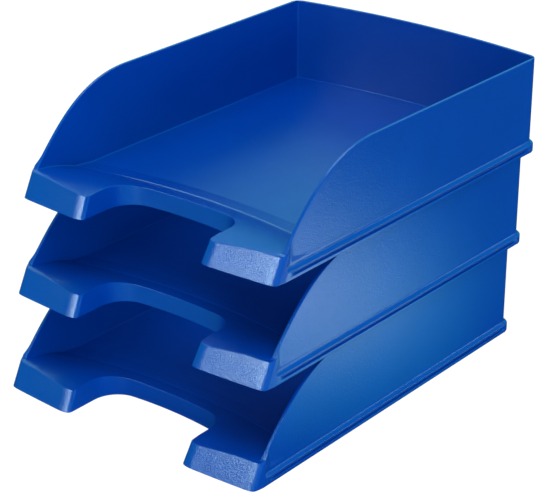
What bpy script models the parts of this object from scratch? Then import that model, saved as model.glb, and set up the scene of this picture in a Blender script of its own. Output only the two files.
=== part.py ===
"""A stack of three letter trays, each one thin-walled plastic moulding.

Every tray has a flat paper floor, two side walls that sweep down to a low front lip, a bowed
rear wall, a finger cut-out in the lip and a skirt round its foot. The skirt of a tray hangs just
outside the wall tops of the tray below, and each tray sits a little further back than the one
it stands on. Metres, +Z up, +X to the right, front towards -Y. The origin is under the middle.
"""

import math

import bmesh
import bpy

# Overall size of one tray
SKIRT_WIDTH = 0.2550
HEIGHT = 0.0800
REAR_WALL = 0.3370
REAR_BOW = 0.0110
REAR_RADIUS = 0.0090
FRONT_BOW = 0.0055
FRONT_RADIUS = 0.0060
FRONT_SLANT = 0.50
FRONT_LEVELS = (-0.0100, 0.0250)

# Wall, floor and skirt sections
WALL = 0.0025
FLOOR_TOP = 0.0085
FLOOR = 0.0024
SKIRT_OUT = 0.0032
SKIRT_STRIP = 0.0042
FLARE_TOP = 0.0100
SKIRT_LAP = 0.0022
SKIRT_CLEARANCE = 0.0005
SEAT_GAP = 0.0003
SEAT_INNER_HALF = 0.0950
SEAT_MIDDLE = 0.0800

# Finger cut-out in the front lip
CUT_HALF_WIDTH = 0.0585
CUT_BACK = 0.0510
CUT_BACK_BOW = 1.50
CUT_RADIUS = 0.0190
CUT_DRAFT = 0.10
NUB_RADIUS = 0.0075

# Front shelf: a gentle band, then a crowned rise to the lip
SHELF_LINE = 0.0725
SHELF_LINE_BOW = 0.0145
SHELF_LINE_RISE = 0.0012
BAND_LINE = 0.0850
BAND_LINE_BOW = 0.0130
SHELF_SLOPE = 0.2586
SHELF_CROWN = 2.56
SHELF_DISH = 0.0872

# Corner block at each front corner and the sweep of the side walls
BLOCK_TOP = 0.0193
BLOCK_BACK = 0.0150
BLOCK_FILLET = 0.0050
SWEEP_START = (0.1180, 0.0800)
SWEEP_HIGH = (0.0700, 0.0800)
SWEEP_LOW = (0.0440, 0.0560)
SWEEP_END = (0.0150, 0.0225)
SWEEP_TOE = (0.0128, 0.0199)
SWEEP_LIP = (0.0080, 0.0192)

# The stack
TRAY_NAMES = ("lower_tray", "middle_tray", "upper_tray")
STAGGER = 0.0120
PITCH = HEIGHT - SKIRT_LAP

# Derived half widths and the overshoot that carries a cutter past what it cuts
SKIRT_HALF = SKIRT_WIDTH / 2
WALL_HALF = SKIRT_HALF - SKIRT_OUT
INNER_HALF = WALL_HALF - WALL
OVERSHOOT = 0.0400
RAW_FRONT = -0.0120


def clear_scene():
    for item in list(bpy.data.objects):
        bpy.data.objects.remove(item, do_unlink=True)


def make_collection(name):
    collection = bpy.data.collections.new(name)
    bpy.context.scene.collection.children.link(collection)
    return collection


def arc(centre, radius, start, end, steps):
    """Points on a circle from the start angle to the end angle, both in degrees."""
    points = []
    for step in range(steps + 1):
        angle = math.radians(start + (end - start) * step / steps)
        points.append((centre[0] + radius * math.cos(angle), centre[1] + radius * math.sin(angle)))
    return points


def mirrored(right_half):
    """A left-to-right run of points, from its right half that starts on the middle line."""
    left_half = [(-x, y) for x, y in reversed(right_half) if x > 1e-6]
    return left_half + right_half


def bowed_edge(half, height, bow, radius, steps, corner_steps):
    """Right half of an edge that falls away as bow * x * x and turns into the side line."""
    start = half - radius
    for _ in range(4):
        fall_angle = math.atan(2 * bow * start)
        start = half - radius * (1 - math.sin(fall_angle))
    edge = [(start * step / steps, height - bow * (start * step / steps) ** 2) for step in range(steps)]
    centre = (half - radius, height - bow * start ** 2 - radius * math.cos(fall_angle))
    return edge + arc(centre, radius, 90 - math.degrees(fall_angle), 0, corner_steps)


def tray_outline(offset, front):
    """Plan of the tray, its walls moved outward by offset, with a plain straight front."""
    half = WALL_HALF + offset
    bow = REAR_BOW / WALL_HALF ** 2
    rear = bowed_edge(half, REAR_WALL + REAR_BOW + offset, bow, REAR_RADIUS + offset, 6, 5)
    return mirrored(rear) + [(half, front), (-half, front)]


def seat_outline(front):
    """Plan of the seat under the side and rear walls, clear of the wall round the finger cut-out."""
    inner = [(SEAT_INNER_HALF, front), (SEAT_INNER_HALF, SEAT_MIDDLE)]
    outline = tray_outline(SKIRT_CLEARANCE, front)
    return outline[:-1] + inner + [(-x, y) for x, y in reversed(inner)] + outline[-1:]


def front_line(x):
    return -FRONT_BOW * (1 - (x / SKIRT_HALF) ** 2)


def front_outline(grow, height):
    """What is open in front at a height: the leaning bowed front, its corners and the cut-out."""
    lean = FRONT_SLANT * height + grow
    spread = CUT_DRAFT * height + grow
    half = CUT_HALF_WIDTH + spread
    right = bowed_edge(half, CUT_BACK + spread, CUT_BACK_BOW, CUT_RADIUS + spread, 4, 5)
    nub = NUB_RADIUS - grow
    nub_x = half + nub
    right += arc((nub_x, front_line(nub_x) + lean + nub), nub, 180, 270, 5)
    corner = FRONT_RADIUS - grow
    corner_x = SKIRT_HALF - grow - corner
    middle_x = (nub_x + corner_x) / 2
    right.append((middle_x, front_line(middle_x) + lean))
    right += arc((corner_x, front_line(corner_x) + lean + corner), corner, 270, 360, 5)
    far = SKIRT_HALF + OVERSHOOT
    right += [(far, right[-1][1]), (far, -OVERSHOOT)]
    return mirrored(right)


def loft(name, rings, collection):
    """Closed solid through rings of equal length: the first ring's face, pulled from ring to ring."""
    mesh = bpy.data.meshes.new(name)
    body = bmesh.new()
    face = body.faces.new([body.verts.new(point) for point in rings[0]])
    for ring in rings[1:]:
        face = bmesh.ops.extrude_discrete_faces(body, faces=[face])["faces"][0]
        for vertex, point in zip(face.verts, ring):
            vertex.co = point
    open_edges = [edge for edge in body.edges if edge.is_boundary]
    bmesh.ops.holes_fill(body, edges=open_edges)
    bmesh.ops.recalc_face_normals(body, faces=body.faces)
    body.to_mesh(mesh)
    body.free()
    item = bpy.data.objects.new(name, mesh)
    collection.objects.link(item)
    return item


def upright(name, outline, levels, collection):
    """Prism of a plan outline between two heights."""
    return loft(name, [[(x, y, z) for x, y in outline] for z in levels], collection)


def front_solid(name, grow, collection):
    """The open space in front of the tray, grown into the tray by a wall's thickness or not at all."""
    return loft(name, [[(x, y, z) for x, y in front_outline(grow, z)] for z in FRONT_LEVELS], collection)


def across(name, profile, half, collection):
    """Prism of a side profile, points of (y, z), from -half to half across the tray."""
    rings = [[(x, y, z) for y, z in profile] for x in (-half, half)]
    return loft(name, rings, collection)


def shelf_height(x, ahead):
    """Height of the front shelf, at a distance ahead of the line where it starts."""
    dish = SHELF_DISH * (x / INNER_HALF) ** 2
    return FLOOR_TOP + SHELF_LINE_RISE + ahead * (SHELF_SLOPE + dish) - SHELF_CROWN * ahead ** 2


def floor_solid(name, drop, far_height, collection):
    """Everything between the tray's floor surface, lowered by drop, and a far height."""
    columns = 16
    ahead_steps = (0.080, 0.060, 0.040, 0.020, 0.0)
    rows = len(ahead_steps) + 1
    half = WALL_HALF + OVERSHOOT
    mesh = bpy.data.meshes.new(name)
    body = bmesh.new()
    bmesh.ops.create_grid(body, x_segments=columns, y_segments=rows, size=1.0)
    for vertex in body.verts:
        row = round((vertex.co.y + 1) / 2 * rows)
        x = vertex.co.x * half
        bend = (x / INNER_HALF) ** 2
        if row < len(ahead_steps):
            ahead = ahead_steps[row]
            vertex.co = (x, SHELF_LINE - SHELF_LINE_BOW * bend - ahead, shelf_height(x, ahead) - drop)
        else:
            vertex.co = (x, BAND_LINE - BAND_LINE_BOW * bend, FLOOR_TOP - drop)
    rear_edges = [edge for edge in body.edges
                  if edge.is_boundary and all(abs(v.co.z - FLOOR_TOP + drop) < 1e-7 for v in edge.verts)]
    pulled = bmesh.ops.extrude_edge_only(body, edges=rear_edges)["geom"]
    for vertex in [item for item in pulled if isinstance(item, bmesh.types.BMVert)]:
        vertex.co.y = REAR_WALL + OVERSHOOT
    pulled = bmesh.ops.extrude_face_region(body, geom=list(body.faces))["geom"]
    for vertex in [item for item in pulled if isinstance(item, bmesh.types.BMVert)]:
        vertex.co.z = far_height
    bmesh.ops.recalc_face_normals(body, faces=body.faces)
    body.to_mesh(mesh)
    body.free()
    item = bpy.data.objects.new(name, mesh)
    collection.objects.link(item)
    return item


def combine(target, operation, tool):
    modifier = target.modifiers.new(tool.name, "BOOLEAN")
    modifier.operation = operation
    modifier.object = tool
    modifier.solver = "EXACT"


def outer_body(collection):
    """The solid block of a tray: walls, flared skirt and the raw front."""
    slope_top = SKIRT_STRIP + 0.0031
    section = (
        (0.0, SKIRT_OUT),
        (SKIRT_STRIP - 0.0004, SKIRT_OUT),
        (SKIRT_STRIP + 0.0004, SKIRT_OUT - 0.0003),
        (slope_top, 0.0007),
        (slope_top + 0.0012, 0.0002),
        (FLARE_TOP, 0.0),
        (HEIGHT, 0.0),
    )
    rings = [[(x, y, z) for x, y in tray_outline(offset, RAW_FRONT)] for z, offset in section]
    return loft("tray_body", rings, collection)


def corner_blocks(collection):
    """The front bar that stands out level with the skirt and ends in a rounded recess."""
    fillet_centre = (BLOCK_BACK + BLOCK_FILLET, SKIRT_STRIP + BLOCK_FILLET)
    recess = arc(fillet_centre, BLOCK_FILLET, 270, 180, 4)
    profile = [(RAW_FRONT, 0.001), (recess[0][0], 0.001)] + recess
    profile += [(BLOCK_BACK, BLOCK_TOP), (RAW_FRONT, BLOCK_TOP)]
    return across("corner_blocks", profile, SKIRT_HALF, collection)


def bezier(points, steps):
    """Points along a quadratic or cubic curve, by repeated division."""
    curve = []
    for step in range(steps + 1):
        part = step / steps
        level = list(points)
        while len(level) > 1:
            level = [tuple(a + (b - a) * part for a, b in zip(p, q)) for p, q in zip(level, level[1:])]
        curve.append(level[0])
    return curve


def wall_sweep(collection):
    """What is cut away above the side walls' swept front edges."""
    sweep = bezier((SWEEP_START, SWEEP_HIGH, SWEEP_LOW, SWEEP_END), 12)
    toe = bezier((SWEEP_END, SWEEP_TOE, SWEEP_LIP), 3)
    above = HEIGHT + OVERSHOOT
    profile = [(SWEEP_START[0], above)] + sweep + toe[1:]
    profile += [(RAW_FRONT - OVERSHOOT, SWEEP_LIP[1]), (RAW_FRONT - OVERSHOOT, above)]
    return across("wall_sweep", profile, SKIRT_HALF + OVERSHOOT, collection)


def tray_mesh(collection):
    """One tray with its front corners' bottom line on y = 0."""
    body = outer_body(collection)
    combine(body, "UNION", corner_blocks(collection))
    combine(body, "DIFFERENCE", wall_sweep(collection))

    well = upright("paper_well", tray_outline(-WALL, -OVERSHOOT), (0.0, HEIGHT + OVERSHOOT), collection)
    combine(well, "INTERSECT", floor_solid("above_floor", 0.0, HEIGHT + OVERSHOOT / 2, collection))
    combine(body, "DIFFERENCE", well)

    hollow = upright("underside", tray_outline(-WALL, RAW_FRONT), (-OVERSHOOT, OVERSHOOT), collection)
    combine(hollow, "INTERSECT", floor_solid("below_floor", FLOOR, -OVERSHOOT / 2, collection))
    combine(hollow, "DIFFERENCE", front_solid("front_inside", WALL, collection))
    combine(body, "DIFFERENCE", hollow)

    seat_front = BLOCK_BACK + 2 * BLOCK_FILLET
    seat_levels = (-OVERSHOOT, SKIRT_LAP + SEAT_GAP)
    seat = upright("seat", seat_outline(seat_front), seat_levels, collection)
    combine(body, "DIFFERENCE", seat)
    combine(body, "DIFFERENCE", front_solid("front_outside", 0.0, collection))

    graph = bpy.context.evaluated_depsgraph_get()
    mesh = bpy.data.meshes.new_from_object(body.evaluated_get(graph))
    mesh.name = "letter_tray"
    mesh.shade_smooth()
    mesh.set_sharp_from_angle(angle=math.radians(30))
    return mesh


def blue_plastic(name):
    material = bpy.data.materials.new(name)
    material.use_nodes = True
    shader = material.node_tree.nodes["Principled BSDF"]
    shader.inputs["Base Color"].default_value = (0.002, 0.045, 0.330, 1.0)
    shader.inputs["Roughness"].default_value = 0.38
    shader.inputs["Metallic"].default_value = 0.0
    return material


def build_stack():
    clear_scene()
    trays = make_collection("letter_tray_stack")
    cutters = make_collection("tray_cutters")
    pattern = tray_mesh(cutters)
    for cutter in cutters.objects:
        cutter.hide_render = True
        cutter.display_type = "WIRE"

    nub_front = front_line(CUT_HALF_WIDTH + NUB_RADIUS)
    rear_most = REAR_WALL + REAR_BOW + SKIRT_OUT
    middle = (nub_front + rear_most) / 2
    for level, name in enumerate(TRAY_NAMES):
        mesh = pattern.copy()
        mesh.name = name
        mesh.materials.clear()
        mesh.materials.append(blue_plastic(name + "_plastic"))
        tray = bpy.data.objects.new(name, mesh)
        tray.location = (0.0, (level - 1) * STAGGER - middle, level * PITCH)
        trays.objects.link(tray)


build_stack()
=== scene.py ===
import math

import bmesh
import bpy
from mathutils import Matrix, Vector


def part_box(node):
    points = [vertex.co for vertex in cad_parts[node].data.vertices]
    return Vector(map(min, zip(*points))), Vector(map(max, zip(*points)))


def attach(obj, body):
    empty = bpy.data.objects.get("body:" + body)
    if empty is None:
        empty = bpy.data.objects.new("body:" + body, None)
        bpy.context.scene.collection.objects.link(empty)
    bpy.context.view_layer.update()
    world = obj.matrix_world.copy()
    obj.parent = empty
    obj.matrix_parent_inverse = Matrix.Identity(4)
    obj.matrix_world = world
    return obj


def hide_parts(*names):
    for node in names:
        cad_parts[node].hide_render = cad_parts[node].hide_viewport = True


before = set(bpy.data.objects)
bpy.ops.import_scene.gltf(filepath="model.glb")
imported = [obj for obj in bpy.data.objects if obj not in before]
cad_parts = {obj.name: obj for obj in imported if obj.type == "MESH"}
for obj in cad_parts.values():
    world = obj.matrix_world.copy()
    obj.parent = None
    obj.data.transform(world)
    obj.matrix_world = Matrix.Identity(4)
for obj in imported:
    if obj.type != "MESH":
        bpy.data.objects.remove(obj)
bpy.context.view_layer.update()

# Camera: a long lens in front of the stack's right corner, a little above it, so that the right
# walls, the open fronts and the floor of the top tray all show.


def direction(azimuth, elevation):
    """Unit vector away from the stack, by degrees to the right of its front and degrees up."""
    turn = math.radians(azimuth)
    rise = math.radians(elevation)
    return Vector((math.sin(turn) * math.cos(rise), -math.cos(turn) * math.cos(rise), math.sin(rise)))


view_from = direction(39.44, 24.67)
view_distance = 1.500
view_target = Vector((-0.0052, -0.0094, 0.0919))
camera_data = bpy.data.cameras.new("camera")
camera_data.lens = 124.7
camera_data.sensor_width = 36.0
camera_data.clip_end = 20.0
camera = bpy.data.objects.new("camera", camera_data)
camera.location = view_target + view_distance * view_from
camera.rotation_euler = (-view_from).to_track_quat("-Z", "Y").to_euler()
bpy.context.scene.collection.objects.link(camera)
bpy.context.scene.camera = camera

# Letter trays: each one is a single injection moulding in blue polystyrene, thin walled, with a
# flared skirt round its foot that hangs just outside the wall tops of the tray below. All three
# come out of the same mould, so one mesh is made here and placed on each tray's CAD node.
low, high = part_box("lower_tray")
skirt_half = (high.x - low.x) / 2
tray_height = high.z - low.z
tray_depth = high.y - low.y
skirt_out = 0.0032
wall_half = skirt_half - skirt_out
wall_thickness = 0.0025
inner_half = wall_half - wall_thickness
cutter_reach = 0.0400
cutter_top = tray_height + cutter_reach
centre_line = 1e-6

# Front edge, with y counted back from the foot of its two corners
front_bow = 0.0055
front_slant = 0.50
front_levels = (-0.0100, 0.0250)
lip_steps = 6
cut_half_width = 0.0585
cut_back = 0.0510
cut_back_bow = 1.50
cut_radius = 0.0230
cut_draft = 0.10
cut_steps = 12
cut_corner_steps = 16
nub_tight = 0.0040
nub_tight_steps = 9
nub_wide = 0.0240
nub_wide_steps = 8
nub_ease = 16.0
corner_wide = 0.0350
corner_wide_steps = 6
corner_tight = 0.0048
corner_tight_steps = 9
corner_ease = 8.0
corner_exit = 80.0
corner_start = skirt_half - (corner_wide * math.sin(math.radians(corner_ease)) + corner_tight)
flank_clearance = 0.0006
heading_forward = math.radians(-90)
settling_rounds = 4


def front_line(x):
    """Where the foot of the bowed front edge lies: 0 at the corners and forward of them between."""
    return -front_bow * (1 - (x / skirt_half) ** 2)


def front_heading(x):
    """Which way that edge heads on its way to the right."""
    return math.atan(2 * front_bow * x / skirt_half ** 2)


def arc(centre, radius, start, end, steps):
    turn = [math.radians(start + (end - start) * step / steps) for step in range(steps + 1)]
    return [(centre[0] + radius * math.cos(a), centre[1] + radius * math.sin(a)) for a in turn]


def mirrored(right_half):
    """The whole outline from its right half, which starts on the centre line."""
    return [(-x, y) for x, y in reversed(right_half) if x > centre_line] + right_half


def bowed_edge(half, height, bow, radius, steps, corner_steps):
    """Right half of an edge that falls away as bow * x * x and turns into the side line."""
    start = half - radius
    for _ in range(settling_rounds):
        fall = math.atan(2 * bow * start)
        start = half - radius * (1 - math.sin(fall))
    edge = [(start * step / steps, height - bow * (start * step / steps) ** 2) for step in range(steps)]
    centre = (half - radius, height - bow * start ** 2 - radius * math.cos(fall))
    return edge + arc(centre, radius, 90 - math.degrees(fall), 0, corner_steps)


def bend_left(start, heading, bends):
    """Points of an edge that leaves start and turns left through runs of (radius, degrees, steps)."""
    points = [start]
    for radius, degrees, steps in bends:
        x, y = points[-1]
        for step in range(1, steps + 1):
            turned = heading + math.radians(degrees) * step / steps
            points.append((x + radius * (math.sin(turned) - math.sin(heading)),
                           y - radius * (math.cos(turned) - math.cos(heading))))
        heading += math.radians(degrees)
    return points


def nub_bends(grow, last_turn):
    return (nub_tight - grow, 90 - nub_ease, nub_tight_steps), (nub_wide - grow, last_turn, nub_wide_steps)


def nub_edge(side, grow, lean):
    """From the side of the cut-out round the nub: a tight bend, then an easy one into the lip."""
    join = side + nub_tight + nub_wide * math.sin(math.radians(nub_ease))
    last_turn = nub_ease + math.degrees(front_heading(join))
    across_nub, along_nub = bend_left((0.0, 0.0), heading_forward, nub_bends(0.0, last_turn))[-1]
    start = front_line(side + across_nub) - along_nub + lean
    return bend_left((side + grow, start), heading_forward, nub_bends(grow, last_turn))


def corner_edge(grow, lean):
    """From the lip round the outer corner: an easy bend, then a tight one, and out past the flank."""
    heading = front_heading(corner_start)
    start_x = corner_start - grow * math.sin(heading)
    start_y = front_line(corner_start) + grow * math.cos(heading) + lean
    tight_turn = corner_exit - corner_ease - math.degrees(heading)
    corner = bend_left((start_x, start_y), heading, (
        (corner_wide - grow, corner_ease, corner_wide_steps),
        (corner_tight - grow, tight_turn, corner_tight_steps),
    ))
    end_x, end_y = corner[-1]
    flank = skirt_half + flank_clearance
    leave = end_y + (flank - end_x) * math.tan(math.radians(corner_exit))
    far = skirt_half + cutter_reach
    return corner + [(flank, leave), (far, leave), (far, -cutter_reach)]


def front_outline(grow, height):
    """The front edge at a height: upright finger cut-out, then nubs, bowed lip and corners that lean."""
    lean = front_slant * height
    side = cut_half_width + cut_draft * height
    spread = side + grow - cut_half_width
    right = bowed_edge(side + grow, cut_back + spread, cut_back_bow, cut_radius + spread,
                       cut_steps, cut_corner_steps)
    right += nub_edge(side, grow, lean)
    for step in range(1, lip_steps):
        x = right[-1][0] + (corner_start - right[-1][0]) * step / lip_steps
        right.append((x, front_line(x) + grow + lean))
    return mirrored(right + corner_edge(grow, lean))


def add_mesh(name, body):
    bmesh.ops.recalc_face_normals(body, faces=body.faces)
    mesh = bpy.data.meshes.new(name)
    body.to_mesh(mesh)
    body.free()
    item = bpy.data.objects.new(name, mesh)
    bpy.context.scene.collection.objects.link(item)
    return item


def loft(name, rings):
    """A closed body through rings that all have the same number of points."""
    body = bmesh.new()
    face = body.faces.new([body.verts.new(point) for point in rings[0]])
    for ring in rings[1:]:
        face = bmesh.ops.extrude_discrete_faces(body, faces=[face])["faces"][0]
        for vertex, point in zip(face.verts, ring):
            vertex.co = point
    bmesh.ops.holes_fill(body, edges=[edge for edge in body.edges if edge.is_boundary])
    return add_mesh(name, body)


def front_solid(name, grow):
    """The open space in front of the tray, grown into the tray by a wall's thickness or not at all."""
    return loft(name, [[(x, y, z) for x, y in front_outline(grow, z)] for z in front_levels])


# Walls in plan, with the rear wall bowed outward
rear_bow = 0.0110
rear_radius = 0.0090
rear_steps = 16
rear_corner_steps = 10
# The CAD solid reaches furthest forward at its nubs, so its box starts there
solid_nub = 0.0075
solid_front = front_line(cut_half_width + solid_nub)
rear_wall = tray_depth + solid_front - skirt_out - rear_bow


def tray_outline(offset, front, radius):
    """The tray in plan, from its front left corner round the rear wall to its front right corner."""
    half = wall_half + offset
    bow = rear_bow / wall_half ** 2
    rear = bowed_edge(half, rear_wall + rear_bow + offset, bow, radius, rear_steps, rear_corner_steps)
    return mirrored(rear + [(half, front)])


def upright(name, outline, levels):
    return loft(name, [[(x, y, z) for x, y in outline] for z in levels])


def across(name, profile, half):
    return loft(name, [[(x, y, z) for y, z in profile] for x in (-half, half)])


def combine(target, operation, tool):
    modifier = target.modifiers.new(tool.name, "BOOLEAN")
    modifier.operation = operation
    modifier.object = tool
    modifier.solver = "EXACT"


# Body with the skirt round its foot, a groove along each side of the skirt, and the corner blocks
skirt_foot = 0.0062
# Distance from the edge of the upright strip, and how far the skirt stands out there
skirt_flare = (
    (0.0000, skirt_out - 0.0001),
    (0.0003, skirt_out - 0.0002),
    (0.0006, skirt_out - 0.0004),
    (0.0024, 0.0008),
    (0.0029, 0.0004),
    (0.0034, 0.0002),
    (0.0044, 0.0),
)
flare_levels = (0.0016, 0.0025)
groove_low = 0.0023
groove_high = 0.0061
groove_sill = 0.0010
groove_brow = 0.0006
groove_depth = 0.0020
groove_steps = 24
groove_front = 0.0160
groove_rear = rear_wall - 0.0060
groove_run = 0.0080
groove_run_steps = 6
block_base = 0.0076
block_crown = 0.0120
block_top = 0.0160
block_end = 0.0115
block_turn = 0.0045
block_fade = 0.35
block_gaps = (0.0240, 0.0177, 0.0150, 0.0120, 0.0100, 0.0085, 0.0070, 0.0058)
raw_front = -0.0120


def clamped(part):
    return min(1.0, max(0.0, part))


def skirt_reach(gap):
    """How far the skirt stands out of the wall at a distance from the edge of its upright strip."""
    for (near, out), (far, less) in zip(skirt_flare, skirt_flare[1:]):
        if gap < far:
            return out + (less - out) * max(0.0, gap - near) / (far - near)
    return 0.0


def side_reach(y, z):
    """The same for the side walls, where the strip widens forward into the corner block."""
    above = z - skirt_foot
    behind = y - block_end
    gap = min(above, behind)
    if gap > 0 and max(above, behind) < block_turn:
        gap = block_turn - math.hypot(block_turn - above, block_turn - behind)
    fade = clamped((z - block_base) / (block_crown - block_base))
    return skirt_reach(gap * (1 - (1 - block_fade) * fade))


def groove_cut(y, z):
    """Depth of the groove along the side of the skirt, which runs out at both ends."""
    flank = clamped(min((z - groove_low) / groove_sill, (groove_high - z) / groove_brow))
    run = clamped(min(y - groove_front, groove_rear - y) / groove_run)
    return groove_depth * (1 - math.cos(math.pi * flank)) * (1 - math.cos(math.pi * run)) / 4


def body_ring(z):
    """The outside of the tray at a height, before the front is cut."""
    out = skirt_reach(z - skirt_foot)
    ring = tray_outline(out, groove_rear, rear_radius + out)
    right = [point for point in ring if point[0] > -centre_line]
    for step in range(1, groove_run_steps + 1):
        y = groove_rear - groove_run * step / groove_run_steps
        right.append((wall_half + out - groove_cut(y, z), y))
    for gap in block_gaps + tuple(gap for gap, _ in reversed(skirt_flare)):
        y = block_end + gap
        right.append((wall_half + side_reach(y, z) - groove_cut(y, z), y))
    right.append((wall_half + skirt_out, raw_front))
    return [(x, y, z) for x, y in mirrored(right)]


body_levels = [0.0, block_crown, block_top, tray_height]
body_levels += [skirt_foot + gap for gap, _ in skirt_flare]
body_levels += [skirt_foot + gap for gap in flare_levels]
for step in range(groove_steps + 1):
    body_levels.append(groove_low + groove_sill * step / groove_steps)
    body_levels.append(groove_high - groove_brow * step / groove_steps)
tray_body = loft("tray_body", [body_ring(z) for z in sorted(body_levels)])

# Side walls sweep down from their tops to the lip
sweep_start = (0.1180, tray_height)
sweep_high = (0.0700, tray_height)
sweep_low = (0.0440, 0.0560)
sweep_end = (0.0150, 0.0225)
sweep_toe = (0.0136, 0.0192)
sweep_lip = (0.0080, 0.0192)
sweep_steps = 32
toe_steps = 6


def bezier(points, steps):
    curve = []
    for step in range(steps + 1):
        part = step / steps
        level = list(points)
        while len(level) > 1:
            level = [tuple(a + (b - a) * part for a, b in zip(p, q)) for p, q in zip(level, level[1:])]
        curve.append(level[0])
    return curve


sweep = bezier((sweep_start, sweep_high, sweep_low, sweep_end), sweep_steps)
sweep += bezier((sweep_end, sweep_toe, sweep_lip), toe_steps)[1:]
sweep_front = raw_front - cutter_reach
sweep_profile = [(sweep_start[0], cutter_top)] + sweep
sweep_profile += [(sweep_front, sweep_lip[1]), (sweep_front, cutter_top)]
combine(tray_body, "DIFFERENCE", across("wall_sweep", sweep_profile, skirt_half + cutter_reach))

# Floor, a band that rises from it, a bead along the band's edge, and the shelf that climbs to the lip
floor_top = 0.0085
floor_thickness = 0.0024
floor_columns = 36
band_line = 0.0850
band_line_bow = 0.0130
shelf_line = 0.0703
shelf_line_bow = 0.0145
shelf_line_rise = 0.0020
shelf_bead = 0.0012
shelf_bead_drop = 0.0008
shelf_slope = 0.3300
shelf_crown = 4.00
shelf_dish = 0.0872
shelf_rows = (0.080, 0.070, 0.060, 0.050, 0.040, 0.030, 0.020, 0.010, shelf_bead, 0.0)
same_level = 1e-7


def shelf_height(x, ahead):
    """Height of the shelf at a distance ahead of its rear line, where the bead stands."""
    dish = shelf_dish * (x / inner_half) ** 2
    height = floor_top + shelf_line_rise + ahead * (shelf_slope + dish) - shelf_crown * ahead ** 2
    return height if ahead < shelf_bead / 2 else height - shelf_bead_drop


def set_new_points(made, axis, value):
    for item in made["geom"]:
        if isinstance(item, bmesh.types.BMVert):
            item.co[axis] = value


def floor_solid(name, drop, far_height):
    """The space from the floor and shelf, lowered by drop, up or down to a far height."""
    rows = len(shelf_rows) + 1
    half = wall_half + cutter_reach
    body = bmesh.new()
    bmesh.ops.create_grid(body, x_segments=floor_columns, y_segments=rows, size=1.0)
    for vertex in body.verts:
        row = round((vertex.co.y + 1) / 2 * rows)
        x = vertex.co.x * half
        bend = (x / inner_half) ** 2
        if row < len(shelf_rows):
            ahead = shelf_rows[row]
            vertex.co = (x, shelf_line - shelf_line_bow * bend - ahead, shelf_height(x, ahead) - drop)
        else:
            vertex.co = (x, band_line - band_line_bow * bend, floor_top - drop)
    rear_edges = [edge for edge in body.edges if edge.is_boundary
                  and all(abs(vertex.co.z - floor_top + drop) < same_level for vertex in edge.verts)]
    set_new_points(bmesh.ops.extrude_edge_only(body, edges=rear_edges), 1, rear_wall + cutter_reach)
    set_new_points(bmesh.ops.extrude_face_region(body, geom=list(body.faces)), 2, far_height)
    return add_mesh(name, body)


# Paper well, with a small fillet round the foot of its walls
inner_corner = 0.0020
well_outline = tray_outline(-wall_thickness, -cutter_reach, inner_corner)
well = upright("paper_well", well_outline, (0.0, cutter_top))
combine(well, "INTERSECT", floor_solid("above_floor", 0.0, tray_height + cutter_reach / 2))
foot_fillet = well.modifiers.new("foot_fillet", "BEVEL")
foot_fillet.width = 0.0010
foot_fillet.segments = 4
foot_fillet.limit_method = "ANGLE"
foot_fillet.angle_limit = math.radians(40)
foot_fillet.use_clamp_overlap = False
combine(tray_body, "DIFFERENCE", well)

# Hollow under the floor, the shelf and the lip
hollow_outline = tray_outline(-wall_thickness, raw_front, rear_radius - wall_thickness)
hollow = upright("underside", hollow_outline, (-cutter_reach, cutter_reach))
combine(hollow, "INTERSECT", floor_solid("below_floor", floor_thickness, -cutter_reach / 2))
combine(hollow, "DIFFERENCE", front_solid("front_inside", wall_thickness))
combine(tray_body, "DIFFERENCE", hollow)

# Seat for the wall tops of the tray below
seat_roof = 0.0025
seat_clearance = 0.0005
seat_front = 0.0250
seat_inner_half = 0.0950
seat_middle = 0.0800
seat_step = [(-seat_inner_half, seat_front), (-seat_inner_half, seat_middle)]
seat_outline = tray_outline(seat_clearance, seat_front, rear_radius + seat_clearance)
seat_outline += [(-x, y) for x, y in seat_step] + seat_step[::-1]
combine(tray_body, "DIFFERENCE", upright("seat", seat_outline, (-cutter_reach, seat_roof)))
combine(tray_body, "DIFFERENCE", front_solid("front_outside", 0.0))

# One clean mesh of the moulding, with crisp creases along the band
graph = bpy.context.evaluated_depsgraph_get()
tray_mesh = bpy.data.meshes.new_from_object(tray_body.evaluated_get(graph))
tools = [tray_body]
for item in tools:
    tools += [modifier.object for modifier in item.modifiers if modifier.type == "BOOLEAN"]
for item in set(tools):
    bpy.data.objects.remove(item, do_unlink=True)

weld_distance = 2e-5
flat_angle = math.radians(0.2)
crease_bottom = floor_top - 1e-5
crease_top = floor_top + shelf_line_rise
crease_width = 0.0002


def on_band_edge(point):
    """Whether a point lies on one of the two creases that bound the band behind the shelf."""
    bend = (point.x / inner_half) ** 2
    rear_gap = abs(point.y - band_line + band_line_bow * bend)
    front_gap = abs(point.y - shelf_line + shelf_line_bow * bend)
    return crease_bottom < point.z < crease_top and min(rear_gap, front_gap) < crease_width


def mark_creases(body):
    for edge in body.edges:
        edge.smooth = not all(on_band_edge(vertex.co) for vertex in edge.verts)


def in_fixed_order(mesh):
    """The mesh sorted from the bottom up, because the Booleans leave the order of points to chance."""
    points = [tuple(vertex.co) for vertex in mesh.vertices]
    order = sorted(range(len(points)), key=lambda old: points[old][::-1])
    rank = {old: new for new, old in enumerate(order)}
    faces = []
    for face in mesh.polygons:
        corners = [rank[old] for old in face.vertices]
        first = corners.index(min(corners))
        faces.append(corners[first:] + corners[:first])
    body = bmesh.new()
    made = [body.verts.new(points[old]) for old in order]
    for corners in sorted(faces):
        body.faces.new([made[corner] for corner in corners])
    return body


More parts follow.
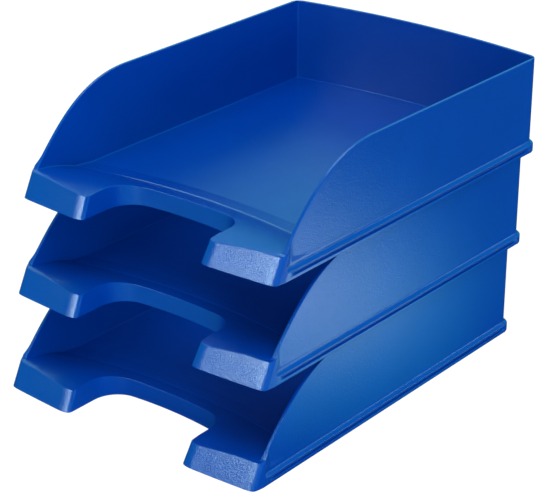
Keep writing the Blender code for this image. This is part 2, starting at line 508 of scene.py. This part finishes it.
clean = bmesh.new()
clean.from_mesh(tray_mesh)
bmesh.ops.remove_doubles(clean, verts=clean.verts, dist=weld_distance)
mark_creases(clean)
bmesh.ops.dissolve_limit(clean, angle_limit=flat_angle, verts=clean.verts, edges=clean.edges,
                         delimit={"SHARP"})
clean.to_mesh(tray_mesh)
clean.free()
ordered = in_fixed_order(tray_mesh)
mark_creases(ordered)
ordered.to_mesh(tray_mesh)
ordered.free()

# Plastic with a fine moulded grain, and a slight change of blue along its flow
plastic = bpy.data.materials.new("blue_polystyrene")
plastic.use_nodes = True
nodes = plastic.node_tree.nodes
links = plastic.node_tree.links
shader = nodes["Principled BSDF"]
shader.inputs["IOR"].default_value = 1.5
shader.inputs["Specular Tint"].default_value = (0.50, 1.0, 1.0, 1.0)
place = nodes.new("ShaderNodeTexCoord")
grain = nodes.new("ShaderNodeTexNoise")
grain.inputs["Scale"].default_value = 1000.0
grain.inputs["Detail"].default_value = 2.0
grain.inputs["Roughness"].default_value = 0.6
links.new(place.outputs["Object"], grain.inputs["Vector"])
flow = nodes.new("ShaderNodeTexNoise")
flow.inputs["Scale"].default_value = 22.0
flow.inputs["Detail"].default_value = 3.0
links.new(place.outputs["Object"], flow.inputs["Vector"])
tint = nodes.new("ShaderNodeValToRGB")
tint.color_ramp.elements[0].position = 0.30
tint.color_ramp.elements[0].color = (0.0, 0.0365, 0.295, 1.0)
tint.color_ramp.elements[1].position = 0.70
tint.color_ramp.elements[1].color = (0.0, 0.0400, 0.322, 1.0)
links.new(flow.outputs["Fac"], tint.inputs["Fac"])
links.new(tint.outputs["Color"], shader.inputs["Base Color"])
gloss = nodes.new("ShaderNodeMapRange")
gloss.inputs["From Min"].default_value = 0.3
gloss.inputs["From Max"].default_value = 0.7
gloss.inputs["To Min"].default_value = 0.14
gloss.inputs["To Max"].default_value = 0.22
links.new(grain.outputs["Fac"], gloss.inputs["Value"])
links.new(gloss.outputs["Result"], shader.inputs["Roughness"])
relief = nodes.new("ShaderNodeBump")
relief.inputs["Strength"].default_value = 1.0
relief.inputs["Distance"].default_value = 0.00022
links.new(grain.outputs["Fac"], relief.inputs["Height"])
links.new(relief.outputs["Normal"], shader.inputs["Normal"])

for tray_name in ("lower_tray", "middle_tray", "upper_tray"):
    tray_low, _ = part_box(tray_name)
    moulding = bpy.data.objects.new(tray_name + "_moulding", tray_mesh.copy())
    moulding.location = (0.0, tray_low.y - solid_front, tray_low.z)
    bpy.context.scene.collection.objects.link(moulding)
    moulding.data.materials.clear()
    moulding.data.materials.append(plastic)
    moulding.data.shade_smooth()
    edge_round = moulding.modifiers.new("edge_round", "BEVEL")
    edge_round.width = 0.0005
    edge_round.segments = 2
    edge_round.limit_method = "ANGLE"
    edge_round.angle_limit = math.radians(28)
    edge_round.use_clamp_overlap = False
    flats = moulding.modifiers.new("flats", "WEIGHTED_NORMAL")
    flats.keep_sharp = True
    bpy.context.view_layer.update()
    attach(moulding, tray_name)
    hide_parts(tray_name)

# Studio: white paper that runs far past the stack, inside an even white tent. Some soft boxes show
# only in the gloss, fills only shade, and weak lamps lighten the two gaps between the trays. Mirrored
# in the plastic, the paper has a painted pool of light on the right and a painted gleam in front of
# the stack, and elsewhere it is painted dark as painted shade.
white = (1.0, 1.0, 1.0, 1.0)
black = (0.0, 0.0, 0.0, 1.0)


def colour_mix(tree_nodes, first, second):
    mix = tree_nodes.new("ShaderNodeMix")
    mix.data_type = "RGBA"
    mix.inputs["A"].default_value = first
    mix.inputs["B"].default_value = second
    return mix


def times(tree_nodes, factor):
    product = tree_nodes.new("ShaderNodeMath")
    product.operation = "MULTIPLY"
    product.inputs[1].default_value = factor
    return product


paper_half = 6.0
floor_body = bmesh.new()
bmesh.ops.create_grid(floor_body, x_segments=1, y_segments=1, size=paper_half)
floor = add_mesh("studio_floor", floor_body)
paper = bpy.data.materials.new("studio_paper")
paper.use_nodes = True
paper_nodes = paper.node_tree.nodes
paper_links = paper.node_tree.links
paper_path = paper_nodes.new("ShaderNodeLightPath")
paper_place = paper_nodes.new("ShaderNodeNewGeometry")
paper_shader = paper_nodes["Principled BSDF"]
paper_shader.inputs["Roughness"].default_value = 0.9
paper_shader.inputs["Specular IOR Level"].default_value = 0.0

# Paper tone: pale where it lights the trays. In their gloss it is painted dark as painted shade, apart
# from a painted gleam in front
paper_axes = paper_nodes.new("ShaderNodeSeparateXYZ")
paper_front = paper_nodes.new("ShaderNodeMapRange")
paper_front.inputs["From Min"].default_value = -0.15
paper_front.inputs["From Max"].default_value = -0.40
paper_painted_gleam = colour_mix(paper_nodes, (0.0, 0.15, 0.16, 1.0), (0.05, 0.60, 0.63, 1.0))
paper_tone_with_painted_light = colour_mix(paper_nodes, (0.75, 0.75, 0.75, 1.0), white)
paper_links.new(paper_place.outputs["Position"], paper_axes.inputs[0])
paper_links.new(paper_axes.outputs["Y"], paper_front.inputs["Value"])
paper_links.new(paper_front.outputs["Result"], paper_painted_gleam.inputs["Factor"])
paper_links.new(paper_painted_gleam.outputs["Result"], paper_tone_with_painted_light.inputs["B"])
paper_links.new(paper_path.outputs["Is Glossy Ray"], paper_tone_with_painted_light.inputs["Factor"])
paper_links.new(paper_tone_with_painted_light.outputs["Result"], paper_shader.inputs["Base Color"])

# Paper white for the camera, with a share of the paper's own shading so that the shadow stays
paper_white = paper_nodes.new("ShaderNodeEmission")
paper_white.inputs["Strength"].default_value = 1.1
paper_seen = times(paper_nodes, 0.86)
paper_mix = paper_nodes.new("ShaderNodeMixShader")
paper_links.new(paper_path.outputs["Is Camera Ray"], paper_seen.inputs[0])
paper_links.new(paper_seen.outputs[0], paper_mix.inputs["Fac"])
paper_links.new(paper_shader.outputs["BSDF"], paper_mix.inputs[1])
paper_links.new(paper_white.outputs["Emission"], paper_mix.inputs[2])

# Painted pool of light on the paper: an ellipse that glows only in the gloss, and that the right walls
# mirror
pool_shape = paper_nodes.new("ShaderNodeMapping")
pool_shape.vector_type = "TEXTURE"
pool_shape.inputs["Location"].default_value = (0.341, 0.091, 0.0)
pool_shape.inputs["Rotation"].default_value = (0.0, 0.0, math.radians(56.5))
pool_shape.inputs["Scale"].default_value = (0.30, 0.208, 1.0)
pool_reach = paper_nodes.new("ShaderNodeVectorMath")
pool_reach.operation = "LENGTH"
painted_pool_colour = paper_nodes.new("ShaderNodeValToRGB")
painted_pool_colour.color_ramp.elements[0].position = 0.25
painted_pool_colour.color_ramp.elements[0].color = white
painted_pool_colour.color_ramp.elements[1].position = 1.0
painted_pool_colour.color_ramp.elements[1].color = black
painted_pool_colour.color_ramp.elements.new(0.42).color = (0.55, 0.85, 0.86, 1.0)
painted_pool_colour.color_ramp.elements.new(0.68).color = (0.06, 0.33, 0.35, 1.0)
painted_pool_colour.color_ramp.elements.new(0.85).color = (0.01, 0.16, 0.17, 1.0)
painted_pool_light = paper_nodes.new("ShaderNodeEmission")
painted_pool_strength = times(paper_nodes, 2.9)
paper_add = paper_nodes.new("ShaderNodeAddShader")
paper_links.new(paper_place.outputs["Position"], pool_shape.inputs["Vector"])
paper_links.new(pool_shape.outputs["Vector"], pool_reach.inputs[0])
paper_links.new(pool_reach.outputs["Value"], painted_pool_colour.inputs["Fac"])
paper_links.new(painted_pool_colour.outputs["Color"], painted_pool_light.inputs["Color"])
paper_links.new(paper_path.outputs["Is Glossy Ray"], painted_pool_strength.inputs[0])
paper_links.new(painted_pool_strength.outputs[0], painted_pool_light.inputs["Strength"])
paper_links.new(paper_mix.outputs["Shader"], paper_add.inputs[0])
paper_links.new(painted_pool_light.outputs["Emission"], paper_add.inputs[1])
paper_links.new(paper_add.outputs["Shader"], paper_nodes["Material Output"].inputs["Surface"])
floor.data.materials.append(paper)

lamp_aim = Vector((0.0, 0.0, 0.12))


def area_lamp(name, width, height, watts, location):
    lamp_data = bpy.data.lights.new(name, "AREA")
    lamp_data.shape = "RECTANGLE"
    lamp_data.size = width
    lamp_data.size_y = height
    lamp_data.energy = watts
    lamp = bpy.data.objects.new(name, lamp_data)
    lamp.location = location
    bpy.context.scene.collection.objects.link(lamp)
    return lamp


def soft_box(name, azimuth, elevation, distance, width, height, watts, red, in_gloss):
    """A lamp aimed at the stack that either shows in the gloss or shades, redder where red is over 1."""
    toward = direction(azimuth, elevation)
    lamp = area_lamp(name, width, height, watts, lamp_aim + distance * toward)
    lamp.rotation_euler = (-toward).to_track_quat("-Z", "Y").to_euler()
    lamp.data.color = (red, 1.0, 1.0)
    lamp.visible_glossy = in_gloss
    lamp.visible_diffuse = not in_gloss


# Gap lamps hang under the floors of the upper two trays and point down
gap_size = 0.20
gap_left = 0.04
gap_back = 0.21
gap_lift = 0.002
for gap_name, roof, watts in (("middle_gap", "upper_tray", 0.085), ("lower_gap", "middle_tray", 0.13)):
    roof_low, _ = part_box(roof)
    gap_place = (-gap_left, roof_low.y + gap_back, roof_low.z + gap_lift)
    gap_fill = area_lamp(gap_name, gap_size, gap_size, watts, gap_place)
    gap_fill.visible_glossy = False
    gap_fill.visible_camera = False

# Boxes by azimuth, elevation, distance, width, height, watts and red
soft_box("key_box", -17, 25, 2.2, 0.76, 0.80, 21.0, 1.4, True)
soft_box("key_core", -11, 20, 2.1, 0.38, 0.60, 10.0, 1.3, True)
soft_box("left_high_box", -112, 52, 2.6, 1.1, 0.7, 10.0, 1.0, True)
soft_box("rear_left_box", -141, 27, 2.6, 1.6, 0.7, 0.8, 1.6, True)
soft_box("rear_right_strip", 137, 5, 2.6, 1.8, 0.25, 6.0, 1.0, True)
soft_box("front_card", 18, 4, 2.6, 1.0, 0.6, 4.0, 1.0, True)
soft_box("front_fill", 15, 10, 3.0, 2.0, 0.7, 25.0, 1.0, False)
soft_box("right_fill", 75, 6, 3.0, 1.5, 0.6, 27.0, 1.0, False)
soft_box("high_fill", 58, 50, 3.0, 2.0, 2.0, 48.0, 1.0, False)
soft_box("top_fill", 0, 85, 2.6, 2.4, 2.4, 38.0, 1.0, False)
soft_box("rear_fill", 180, 50, 3.0, 2.0, 1.5, 12.0, 1.0, False)

# Tent: dim where it lights, bright in the gloss, white for the camera
world = bpy.data.worlds.new("studio")
bpy.context.scene.world = world
world.use_nodes = True
world_nodes = world.node_tree.nodes
world_links = world.node_tree.links
light_path = world_nodes.new("ShaderNodeLightPath")
tent = colour_mix(world_nodes, (0.24, 0.24, 0.26, 1.0), (0.04, 0.86, 0.92, 1.0))
backdrop = colour_mix(world_nodes, black, white)
world_links.new(light_path.outputs["Is Glossy Ray"], tent.inputs["Factor"])
world_links.new(tent.outputs["Result"], backdrop.inputs["A"])
world_links.new(light_path.outputs["Is Camera Ray"], backdrop.inputs["Factor"])
world_links.new(backdrop.outputs["Result"], world_nodes["Background"].inputs["Color"])

bpy.context.scene.view_settings.view_transform = "Standard"
